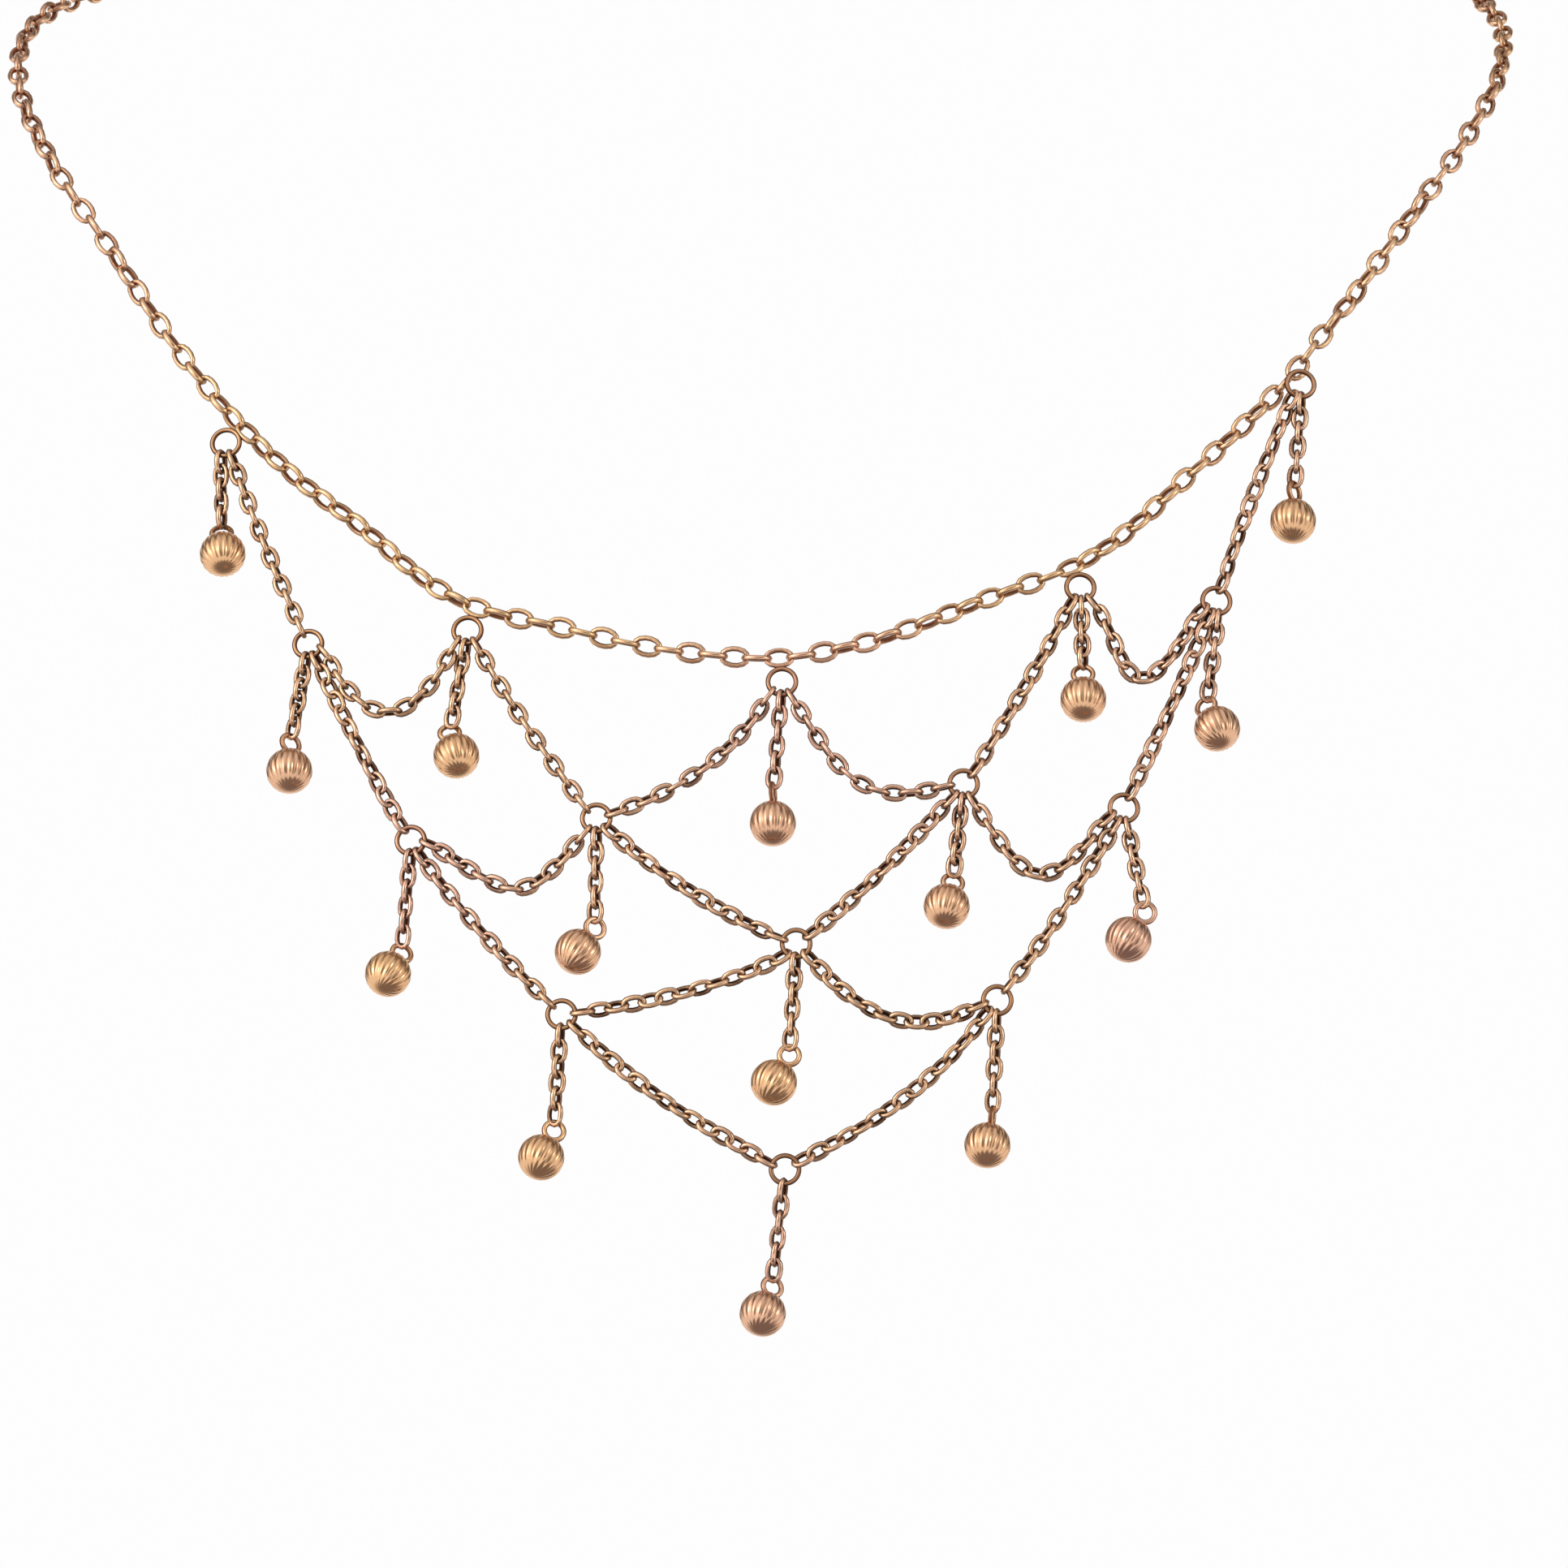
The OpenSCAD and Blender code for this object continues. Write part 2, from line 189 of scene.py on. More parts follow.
# A row for each light: its direction, the degrees out to which it is full, the degrees at which
# it has faded away, and its strength
TENT_LIGHTS = [
    ((-0.85, -0.5, 0.2), 10, 60, 1.05),
    ((-0.75, -0.6, 0.4), 4, 15, 2.5),
    ((0.9, -0.35, 0.1), 5, 50, 0.74),
    ((0.8, -0.5, 0.35), 3, 13, 2),
    ((-0.1, -0.35, 1), 10, 60, 0.62),
    ((0, -1, 0.2), 10, 55, 0.12),
    ((0, 1, -0.1), 15, 65, 0.55),
]
cloth_glow = 0.1
light = cloth_glow
for towards, full, faded, strength in TENT_LIGHTS:
    aim = Vector(towards).normalized()
    near = add_node(tree, "ShaderNodeVectorMath", {"operation": "DOT_PRODUCT"}, _0=direction, _1=aim)
    patch = add_node(
        tree,
        "ShaderNodeMapRange",
        {"interpolation_type": "SMOOTHSTEP"},
        Value=near.outputs["Value"],
        From_Min=cos(radians(faded)),
        From_Max=cos(radians(full)),
        To_Min=0.0,
        To_Max=strength,
    ).outputs["Result"]
    light = add_node(tree, "ShaderNodeMath", {"operation": "ADD"}, _0=light, _1=patch).outputs[0]
tent = add_node(tree, "ShaderNodeBackground", Color=linear("#FFFBF5"), Strength=light)
backdrop = add_node(tree, "ShaderNodeBackground", Color=linear("#FFFFFF"), Strength=0.985)
seen = add_node(tree, "ShaderNodeLightPath").outputs["Is Camera Ray"]
mixed = add_node(tree, "ShaderNodeMixShader", _0=seen, _1=tent.outputs[0], _2=backdrop.outputs[0])
add_node(tree, "ShaderNodeOutputWorld", Surface=mixed.outputs[0])
bpy.context.scene.view_settings.view_transform = "Standard"

# Main chain: a trace chain of oval links in polished 9 ct gold wire, each closed by a soldered
# joint and hung at a quarter turn in the last. It goes round the neck from eye to eye of the
# clasp, and twists a little at the front, so that some links show their face and some an edge.
chest_radius = 255
chest_lean = tan(radians(22))
chest_round = 180
front_depth = 48
front_drop = 36
link_length = 3.12
link_width = 2.2
link_wire = 0.52
link_thick = 0.62
link_tip_radius = 0.72
link_reach = 0.8
# Painted shade on the inner sides of the links, and on their sides that don't face out
inner_painted_shade = 1.1
side_painted_shade = 0.6
nape_depth = 42
nape_rise = 37
neck_start = 20
clasp_reach = 7.34


def below(z):
    """How far a height lies below the lowest front link, as a negative number."""
    return min(0, z + front_drop)


def chest(x, z):
    """Point of the chest in front of which the necklace lies."""
    depth = x * x / (2 * chest_radius) + chest_lean * (z + front_drop) + below(z) ** 2 / (2 * chest_round)
    return Vector((x, depth - front_depth, z))


def chest_out(p):
    """Direction straight out of the chest at p."""
    return Vector((p.x / chest_radius, -1, chest_lean + below(p.z) / chest_round)).normalized()


def chest_along(p, degrees):
    """Direction on the chest at p that looks from the front like a given angle."""
    a = radians(degrees)
    slope = chest_lean + below(p.z) / chest_round
    return Vector((cos(a), p.x / chest_radius * cos(a) + slope * sin(a), sin(a))).normalized()


def neck_share(p):
    """How far the chain has left the chest for the neck at p, from 0 to 1."""
    return max(0, min(1, (p.y + neck_start) / neck_start))


# Places that the middle of the chain passes, from the clasp's left eye round the front to its
# right one. On the right it leaves the chest little by little.
ROUTE = [
    (-clasp_reach, nape_depth, nape_rise),
    (-20, nape_depth - 1, nape_rise),
    (-38, 37, 36.5),
    (-54, 28.5, 35),
    (-67, 17.5, 32.5),
    (-75, 5, 28.5),
    (-76.5, -7, 22),
    chest(-72.7, 13.5),
    chest(-66.9, 5),
    chest(-61.6, -3),
    chest(-57, -9),
    chest(-53, -13.5),
    chest(-47.5, -18.5),
    chest(-41.5, -23),
    chest(-35.5, -28),
    chest(-30, -31),
    chest(-21.5, -33),
    chest(-15, -34.5),
    chest(-8.5, -35.5),
    chest(0, -front_drop),
    chest(8.5, -34.5),
    chest(14.5, -32.5),
    chest(21, -30),
    chest(29, -27),
    chest(34.5, -23.5),
    chest(40, -18.5),
    chest(45, -14),
    chest(50.5, -8.5),
    chest(54, -4),
    chest(57.6, 0.5) + Vector((0, 0.5, 0)),
    chest(62.3, 7) + Vector((0, 1.6, 0)),
    chest(65.6, 11.5) + Vector((0, 2.6, 0)),
    chest(68.8, 16) + Vector((0, 4, 0)),
    (72.5, -6, 23),
    (72.5, 7, 29),
    (66.5, 20, 33.5),
    (54, 30, 35.5),
    (38, 37, 36.5),
    (20, nape_depth - 1, nape_rise),
    (clasp_reach, nape_depth, nape_rise),
]
ROUTE = [Vector(p) for p in ROUTE]

# The soldered links, which carry the rings A1 to A5, lie at these places of the route. Links are
# numbered from that of A1, which is 0.
CARRIERS = [11, 15, 19, 23, 27]
carrier_step = 14
carrier_links = [k * carrier_step for k in range(len(CARRIERS))]
first_link = -67
middle_link = 28
last_link = 121

# Turn of the links about the chain in degrees, straight between those given. The first rows are
# those of the soldered links, which carry the rings, and the second those of the loose ones.
SET = [(0, -30), (14, 0), (28, 0), (42, -25), (56, -88.3)]
LOOSE = [
    (first_link, -90), (-18, -50), (-15, -10), (-13, -5), (-9, -68), (-6, -74), (-3, -70),
    (0, -30), (2, -36), (8, -38), (10, -36), (12, -12), (14, 0), (16, 8), (20, 20), (29, 18),
    (31, 6), (33, -2), (35, -10), (37, -10), (39, 3), (41, 15), (44, -44), (46, -47), (48, -56),
    (50, -68), (52, -57), (54, -56), (57, -88), (59, -90), (60, -100), (61, -130), (64, -175),
    (66, -160), (68, -125), (70, -90), (last_link, -90),
]


def between(x, rows):
    """Value at x on the straight lines through rows of x and value."""
    if x <= rows[0][0]:
        return rows[0][1]
    for (x0, y0), (x1, y1) in zip(rows, rows[1:]):
        if x <= x1:
            return y0 + (y1 - y0) * (x - x0) / (x1 - x0)
    return rows[-1][1]


def smooth_curve(points, steps):
    """Points on a curve that passes smoothly through the given ones."""
    ends = [2 * points[0] - points[1]] + points + [2 * points[-1] - points[-2]]
    curve = []
    for p, q, r, s in zip(ends, ends[1:], ends[2:], ends[3:]):
        for k in range(steps):
            t = k / steps
            curve.append(
                q
                + t * (r - p) / 2
                + t * t * (2 * p - 5 * q + 4 * r - s) / 2
                + t**3 * (3 * q - p - 3 * r + s) / 2
            )
    return curve + [points[-1]]


def lengths_along(curve):
    """Length of a curve up to each of its points."""
    lengths = [0]
    for p, q in zip(curve, curve[1:]):
        lengths.append(lengths[-1] + (q - p).length)
    return lengths


def point_along(curve, lengths, s):
    """Point of a curve at a length along it."""
    s = min(max(s, 0), lengths[-1])
    i = 1
    while i < len(lengths) - 1 and lengths[i] < s:
        i += 1
    share = (s - lengths[i - 1]) / (lengths[i] - lengths[i - 1])
    return curve[i - 1].lerp(curve[i], share)


def way_along(curve, lengths, s, reach):
    """Direction of a curve at a length along it."""
    return (point_along(curve, lengths, s + reach) - point_along(curve, lengths, s - reach)).normalized()


curve_steps = 12
chain_curve = smooth_curve(ROUTE, curve_steps)
chain_lengths = lengths_along(chain_curve)

# Number of a link and how far along the chain it lies
LINK_MARKS = [(first_link, 0)]
LINK_MARKS += [(i, chain_lengths[c * curve_steps]) for i, c in zip(carrier_links, CARRIERS)]
LINK_MARKS += [(last_link, chain_lengths[-1])]


def placement(middle, x, y):
    """Matrix that takes the origin to middle and the first two axes to x and y."""
    z = x.cross(y)
    return Matrix(
        (
            (x.x, y.x, z.x, middle.x),
            (x.y, y.y, z.y, middle.y),
            (x.z, y.z, z.z, middle.z),
            (0, 0, 0, 1),
        )
    )


def link_axes(i, turns):
    """Middle, long axis and wide axis of link i of the main chain."""
    s = between(i, LINK_MARKS)
    middle = point_along(chain_curve, chain_lengths, s)
    along = way_along(chain_curve, chain_lengths, s, link_reach)
    share = neck_share(middle)
    neck = (along.cross(Vector((0, 0, 1))).normalized() + Vector((0, 0, chest_lean))).normalized()
    out = (1 - share) * chest_out(middle) + share * neck
    out = (out - out.dot(along) * along).normalized()
    a = radians(between(i, turns) + 90 * (i % 2))
    return middle, along, cos(a) * out.cross(along) + sin(a) * out


def link_out(i):
    """Direction out of the chest or neck at link i of the main chain."""
    middle = point_along(chain_curve, chain_lengths, between(i, LINK_MARKS))
    share = neck_share(middle)
    neck = Vector((middle.x, middle.y, 0)).normalized()
    return ((1 - share) * chest_out(middle) + share * neck).normalized()


def oval_link(length, width, wire, thick, tip_radius):
    """Mesh of one oval wire link, long along X and flat in XY, bent on four arcs."""
    reach = (length - wire) / 2
    half_width = (width - wire) / 2
    tip = reach - tip_radius
    rest = half_width - tip_radius
    side = (tip * tip - rest * rest) / (2 * rest)
    half_tip = atan2(side, tip)
    sides = 6
    bm = bmesh.new()
    made = bmesh.ops.create_circle(bm, segments=sides, radius=wire / 2)
    turned = Matrix.Rotation(pi / 2, 3, "X") @ Matrix.Rotation(pi / sides, 3, "Z")
    bmesh.ops.rotate(bm, cent=(0, 0, 0), matrix=turned, verts=made["verts"])
    bmesh.ops.translate(bm, vec=(reach, 0, 0), verts=made["verts"])
    loop = bm.edges[:]
    for centre, angle, steps in (
        ((tip, 0, 0), half_tip, 2),
        ((0, -side, 0), pi - 2 * half_tip, 3),
        ((-tip, 0, 0), 2 * half_tip, 4),
        ((0, side, 0), pi - 2 * half_tip, 3),
        ((tip, 0, 0), half_tip, 2),
    ):
        made = bmesh.ops.spin(
            bm, geom=loop, cent=centre, axis=(0, 0, 1), angle=angle, steps=steps, use_merge=False
        )
        loop = [e for e in made["geom_last"] if isinstance(e, bmesh.types.BMEdge)]
    bmesh.ops.remove_doubles(bm, verts=bm.verts, dist=0.002)
    bmesh.ops.scale(bm, vec=(1, 1, thick / wire), verts=bm.verts)
    bmesh.ops.recalc_face_normals(bm, faces=bm.faces)
    mesh = bpy.data.meshes.new("one_link")
    bm.to_mesh(mesh)
    bm.free()
    return mesh


def add_link(bm, mesh, matrix, out):
    """Adds a link. Painted shade is most on its inner side, and some is on what doesn't face out."""
    copy = mesh.copy()
    facing = out @ matrix.to_3x3()
    painted_shade = copy.attributes.new("painted_shade", "FLOAT", "POINT")
    for v in copy.vertices:
        inward = max(0, -v.normal.xy.dot(v.co.xy.normalized()))
        sideways = 1 - v.normal.dot(facing) ** 2
        painted_shade.data[v.index].value = max(inner_painted_shade * inward, side_painted_shade * sideways)
    copy.transform(matrix)
    bm.from_mesh(copy)
    bpy.data.meshes.remove(copy)


# Polished wire of 9 ct gold is a warm, slightly rosy yellow and shines like a mirror. The inner
# sides of the links, and what doesn't face out, are painted brown and duller than the metal: this
# is painted shade between the links and on their sides, and its edge wanders in faint clouds. The
# dents of wear are finer than the render shows, so they are drawn a quarter of a millimetre apart.
cloud_swing = 0.22
painted_shade_dullness = 0.2
painted_shade_metal = 0.6
dent_mm = 0.25
dent_depth_mm = 0.02


def polished_gold(
    name, yellow, rosy, rosiness, painted_shade_colour, roughness, cloud_mm, painted_shade, painted_shade_from, painted_shade_to
):
    """Gold in a yellow to rosy tone, with painted shade in soft clouds where the shade mark is high."""
    material, tree = new_material(name)
    place = add_node(tree, "ShaderNodeTexCoord").outputs["Object"]
    clouds = add_node(
        tree, "ShaderNodeTexNoise", Vector=place, Scale=1 / (cloud_mm * MM), Detail=3.0, Roughness=0.55
    ).outputs["Fac"]
    uneven = add_node(
        tree, "ShaderNodeMapRange", Value=clouds, To_Min=-cloud_swing, To_Max=cloud_swing
    ).outputs["Result"]
    shade_share = add_node(
        tree,
        "ShaderNodeMapRange",
        {"interpolation_type": "SMOOTHSTEP"},
        Value=add_node(tree, "ShaderNodeMath", _0=painted_shade(tree), _1=uneven).outputs[0],
        From_Min=painted_shade_from,
        From_Max=painted_shade_to,
    ).outputs["Result"]
    alloy = add_node(
        tree, "ShaderNodeMix", {"data_type": "RGBA"}, _0=rosiness(tree), _6=linear(yellow), _7=linear(rosy)
    ).outputs[2]
    tone = add_node(
        tree, "ShaderNodeMix", {"data_type": "RGBA"}, _0=shade_share, _6=alloy, _7=linear(painted_shade_colour)
    ).outputs[2]
    shine = add_node(
        tree, "ShaderNodeMapRange", Value=shade_share, To_Min=roughness, To_Max=roughness + painted_shade_dullness
    ).outputs["Result"]
    unshaded_metal = add_node(
        tree, "ShaderNodeMapRange", Value=shade_share, To_Min=1.0, To_Max=painted_shade_metal
    ).outputs["Result"]
    dents = add_node(
        tree, "ShaderNodeTexNoise", Vector=place, Scale=1 / (dent_mm * MM), Detail=2.0
    ).outputs["Fac"]
    bump = add_node(
        tree, "ShaderNodeBump", Height=dents, Strength=0.15, Distance=dent_depth_mm * MM
    ).outputs["Normal"]
    shader = add_node(
        tree,
        "ShaderNodeBsdfPrincipled",
        Base_Color=tone,
        Metallic=unshaded_metal,
        Roughness=shine,
        Specular_IOR_Level=0.12,
        Normal=bump,
    )
    finish_material(tree, shader)
    return material


def painted_shade_of_mesh(tree):
    """Painted shade that is stored on the mesh."""
    return add_node(tree, "ShaderNodeAttribute", {"attribute_name": "painted_shade"}).outputs["Fac"]


def slow_rosiness(tree):
    """Tone that drifts from yellow to rosy over some 30 mm of chain."""
    drift_mm = 30
    place = add_node(tree, "ShaderNodeTexCoord").outputs["Object"]
    drift = add_node(
        tree, "ShaderNodeTexNoise", Vector=place, Scale=1 / (drift_mm * MM), Detail=0.0
    ).outputs["Fac"]
    return add_node(
        tree, "ShaderNodeMapRange", Value=drift, From_Min=0.35, From_Max=0.65
    ).outputs["Result"]


wire_gold = polished_gold(
    "drawn_9ct_gold_wire",
    yellow="#FFD2A2",
    rosy="#FFCCAC",
    rosiness=slow_rosiness,
    # Brown of the painted shade on the links
    painted_shade_colour="#805038",
    roughness=0.11,
    cloud_mm=3.0,
    painted_shade=painted_shade_of_mesh,
    painted_shade_from=0.15,
    painted_shade_to=0.85,
)
chain_link = oval_link(link_length, link_width, link_wire, link_thick, link_tip_radius)
for name, numbers in (
    ("main_chain_left", range(first_link, middle_link + 1)),
    ("main_chain_right", range(middle_link, last_link + 1)),
):
    bm = bmesh.new()
    for i in numbers:
        if i not in carrier_links:
            add_link(bm, chain_link, placement(*link_axes(i, LOOSE)), link_out(i))
    piece = keep_mesh(bm, "links_" + name)
    piece.data.materials.append(wire_gold)
    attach(piece, "root")
    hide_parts(name)

# Clasp: a plain barrel of gold with domed ends and a wire eye at each end, closed at the nape.
# It is turned and polished, and the CAD part has its full shape.
def dress_cad_node(node, material):
    """Gives a CAD node's object a material in place of its own."""
    body = next(o for o in bpy.context.scene.objects if o.get("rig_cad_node") == node)
    for slot in body.material_slots:
        slot.material = material


def painted_shade_of_sides(tree):
    """Painted shade on the sides that face neither the front, a little upwards, nor the back."""
    front = (0, -0.94, 0.34)
    normal = add_node(tree, "ShaderNodeTexCoord").outputs["Normal"]
    facing = add_node(
        tree, "ShaderNodeVectorMath", {"operation": "DOT_PRODUCT"}, _0=normal, _1=front
    ).outputs["Value"]
    square = add_node(tree, "ShaderNodeMath", {"operation": "MULTIPLY"}, _0=facing, _1=facing).outputs[0]
    return add_node(tree, "ShaderNodeMath", {"operation": "SUBTRACT"}, _0=1.0, _1=square).outputs[0]


# Turned gold is a little duller than drawn wire, and the sides of the barrel are painted darker as shade.
barrel_gold = polished_gold(
    "turned_9ct_gold",
    yellow="#F9C999",
    rosy="#F5C5A0",
    rosiness=slow_rosiness,
    painted_shade_colour="#8A5F42",
    roughness=0.16,
    cloud_mm=4.0,
    painted_shade=painted_shade_of_sides,
    painted_shade_from=0.6,
    painted_shade_to=1.3,
)
dress_cad_node("clasp", barrel_gold)

# Jump rings: fifteen round rings of gold wire, closed with solder. Five are soldered to a link of
# the main chain, which is drawn with its ring, and ten join the net.
ring_wire = 0.5
ring_radius = 1.39
link_half_width = 0.85
solder_step = 0.34

# Rings on the main chain and the angle at which each hangs from its link, then the rings of the
# net with x and z of the middle, in tenths of a millimetre, from places that a program measured
CARRIED = [("a1", -158), ("a2", -112), ("a3", -80), ("a4", -73), ("a5", -22)]
NET_RINGS = {
    "b1": (-46.8, -34.6),
    "b2": (-18.1, -51.9),
    "b3": (18.3, -48.5),
    "b4": (43.5, -30.3),
    "c1": (-36.5, -54.1),
    "c2": (1.7, -64.3),
    "c3": (34.2, -50.9),
    "d1": (-21.5, -71.3),
    "d2": (21.6, -69.9),
    "e1": (0.6, -86.6),
}

# The wire of the rings is browner and duller than that of the links, and only its face is nearly
# free of painted shade, which darkens the rest.
ring_gold = polished_gold(
    "ring_9ct_gold_wire",
    yellow="#E4B084",
    rosy="#E0AA8A",
    rosiness=slow_rosiness,
    painted_shade_colour="#5C321E",
    roughness=0.16,
    cloud_mm=2.5,
    painted_shade=painted_shade_of_mesh,
    painted_shade_from=-0.1,
    painted_shade_to=0.6,
)


def wire_ring(wire, radius, sides, steps):
    """A closed ring of round wire round the Z axis, with painted shade on its sides."""
    bm = bmesh.new()
    made = bmesh.ops.create_circle(bm, segments=sides, radius=wire / 2)
    bmesh.ops.rotate(bm, cent=(0, 0, 0), matrix=Matrix.Rotation(pi / 2, 3, "X"), verts=made["verts"])
    bmesh.ops.translate(bm, vec=(radius, 0, 0), verts=made["verts"])
    bmesh.ops.spin(
        bm, geom=bm.edges[:], cent=(0, 0, 0), axis=(0, 0, 1), angle=2 * pi, steps=steps, use_merge=True
    )
    bmesh.ops.recalc_face_normals(bm, faces=bm.faces)
    bm.normal_update()
    painted_shade = bm.verts.layers.float.new("painted_shade")
    for v in bm.verts:
        v[painted_shade] = 1 - v.normal.z**2
    return bm


ring_middle = {}
ring_link = {}
for i, (name, degrees) in zip(carrier_links, CARRIED):
    middle, along, wide = link_axes(i, SET)
    ring_link[name] = i
    ring_middle[name] = (
        middle - (link_half_width + solder_step) * wide + ring_radius * chest_along(middle, degrees)
    )
for name, (x, z) in NET_RINGS.items():
    ring_middle[name] = chest(x, z)
for name, middle in ring_middle.items():
    out = chest_out(middle)
    side = out.cross(Vector((0, 0, 1))).normalized()
    bm = wire_ring(ring_wire, ring_radius, sides=10, steps=32)
    bmesh.ops.transform(bm, matrix=placement(middle, side, out.cross(side)), verts=bm.verts)
    ring_faces = len(bm.faces)
    if name in ring_link:
        i = ring_link[name]
        add_link(bm, chain_link, placement(*link_axes(i, SET)), link_out(i))
    bm.faces.ensure_lookup_table()
    for face in bm.faces[ring_faces:]:
        face.material_index = 1
    piece = keep_mesh(bm, "jump_ring_" + name)
    piece.data.materials.append(ring_gold)
    piece.data.materials.append(wire_gold)
    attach(piece, "root")
    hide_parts("ring_" + name)

# Swags of the net: fine trace chain of oval wire links that hook into the rings at both ends.
# Each swag has thirteen links, and the two that meet at the lowest ring have fifteen.
fine_length = 2.68
fine_width = 1.8
fine_wire = 0.54
fine_tip_radius = 0.55
fine_reach = 0.7
hook = 0.7
edge_reach = 1.82
swag_links = 13
lowest_swag_links = 15
fine_link = oval_link(fine_length, fine_width, fine_wire, fine_wire, fine_tip_radius)

# Fine wire shines as that of the main chain does. Its painted shade is darker, as the shade
# between such small links is deeper.
fine_gold = polished_gold(
    "fine_9ct_gold_wire",
    yellow="#FDCDA6",
    rosy="#FAC8B0",
    rosiness=slow_rosiness,
    painted_shade_colour="#462412",
    roughness=0.11,
    cloud_mm=2.0,
    painted_shade=painted_shade_of_mesh,
    painted_shade_from=0.1,
    painted_shade_to=0.7,
)

# A row for each swag: its two rings, the angle at which it leaves the first, two points that draw
# its curve, the angle at which it reaches the second, and how its links lie, from 0 to 1. The
# points were fitted by a program, not chosen by hand, and were rounded to half a millimetre.
SWAGS = [
    ("a1", "b1", -67, (-52.5, -22), (-50, -27.5), 116, 0.1),
    ("a2", "b2", -58, (-27.5, -39.5), (-22.5, -46.5), 135, 0.1),
    ("b1", "a2", -27, (-39.5, -46.5), (-34.5, -39.5), -133, 0.15),
    ("b2", "a3", 18, (-12.5, -50), (-5.5, -47.5), -135, 0.6),
    ("a3", "b3", -57, (6, -47.5), (8, -51), -172, 0.2),
    ("b3", "a4", 51, (22, -43), (26, -36.5), -121, 0.7),
    ("a4", "b4", -51, (34.5, -34), (34, -45), -149, 1),
    ("b4", "a5", 70, (46, -22.5), (48.5, -16.5), -122, 1),
    ("b1", "c1", -63, (-42.5, -43.5), (-38.5, -51), 122, 1),
    ("c1", "b2", -9, (-26, -60), (-25.5, -61), -128, 0.6),
    ("b2", "c2", -43, (-12, -57.5), (-4.5, -62), 160, 1),
    ("c2", "b3", 35, (7.5, -60), (13.5, -54), -131, 1),
    ("b3", "c3", -61, (24.5, -58.5), (26, -60.5), -151, 0.7),
    ("c3", "b4", 64, (36, -47), (39.5, -40), -114, 1),
    ("c1", "d1", -58, (-31, -62), (-24.5, -68.5), 136, 0.5),
    ("d1", "c2", 7, (-14.5, -70.5), (-5, -68.5), -136, 1),
    ("c2", "d2", -46, (9, -72.5), (14, -73.5), -165, 1),
    ("d2", "c3", 52, (26, -64.5), (29.5, -59), -116, 0.4),
    ("d1", "e1", -44, (-12.5, -80), (-6, -83), 156, 1),
    ("e1", "d2", 30, (7.5, -83), (15, -79), -130, 1),
]


def behind(p):
    """How far a point stands behind the chest."""
    return p.y - chest(p.x, p.z).y


def swag_curve(swag):
    """Points of a swag from the wire of its first ring to the wire of its second."""
    first, second, leave, bend_1, bend_2, reach, lie = swag
    a = ring_middle[first]
    b = ring_middle[second]
    p = Vector((a.x, a.z)) + edge_reach * Vector((cos(radians(leave)), sin(radians(leave))))
    s = Vector((b.x, b.z)) + edge_reach * Vector((cos(radians(reach)), sin(radians(reach))))
    points = [a + ring_radius * chest_along(a, leave)]
    steps = 24
    for k in range(steps + 1):
        t = k / steps
        q = (
            (1 - t) ** 3 * p
            + 3 * (1 - t) ** 2 * t * Vector(bend_1)
            + 3 * (1 - t) * t * t * Vector(bend_2)
            + t**3 * s
        )
        points.append(chest(q.x, q.y) + Vector((0, (1 - t) * behind(a) + t * behind(b), 0)))
    return points + [b + ring_radius * chest_along(b, reach)]


def lay_links(bm, curve, count, lie):
    """Hooks fine links into each other along a curve. Where lie is 0 they show their edge and
    their face in turn, and where it is 1 they all lie half open. Each rolls a little by itself."""
    lengths = lengths_along(curve)
    pitch = (lengths[-1] - 2 * hook) / (count - 1)
    for i in range(count):
        s = hook + i * pitch
        middle = point_along(curve, lengths, s)
        along = way_along(curve, lengths, s, fine_reach)
        out = chest_out(middle)
        out = (out - out.dot(along) * along).normalized()
        share = between(i / (count - 1), lie)
        roll = (5 + 13 * share) * sin(2.3 * i + curve[0].x)
        turn = 90 + 30 * share if i % 2 else 50 * share
        a = radians(turn + roll)
        matrix = placement(middle, along, cos(a) * out + sin(a) * along.cross(out))
        add_link(bm, fine_link, matrix, out)


for swag in SWAGS:
    first, second, *_, lie = swag
    node = "swag_" + first + "_" + second
    bm = bmesh.new()
    count = lowest_swag_links if "e1" in (first, second) else swag_links
    near_ring = 0.6 * lie + 0.1
    lies = [(0, near_ring), (0.15, lie), (0.85, lie), (1, near_ring)]
    lay_links(bm, swag_curve(swag), count, lies)
    piece = keep_mesh(bm, "links_" + node)
    piece.data.materials.append(fine_gold)
    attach(piece, "root")
    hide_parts(node)

# Drops: a ball hangs from every ring on five or six links of the same fine chain. They hook into
# the ring above and into the bail, a small round ring that is soldered on the ball.
ball_radius = 2.3
ball_proud = 0.6
bail_wire = 0.54
bail_width = 2.5
bail_sunk = 0.3
bail_radius = (bail_width - bail_wire) / 2
bail_reach = ball_radius - bail_sunk + bail_wire / 2 + bail_radius

# How the links of a drop lie, at its top and at its bottom
DROP_LIES = [(0, 0.4), (1, 0.5)]

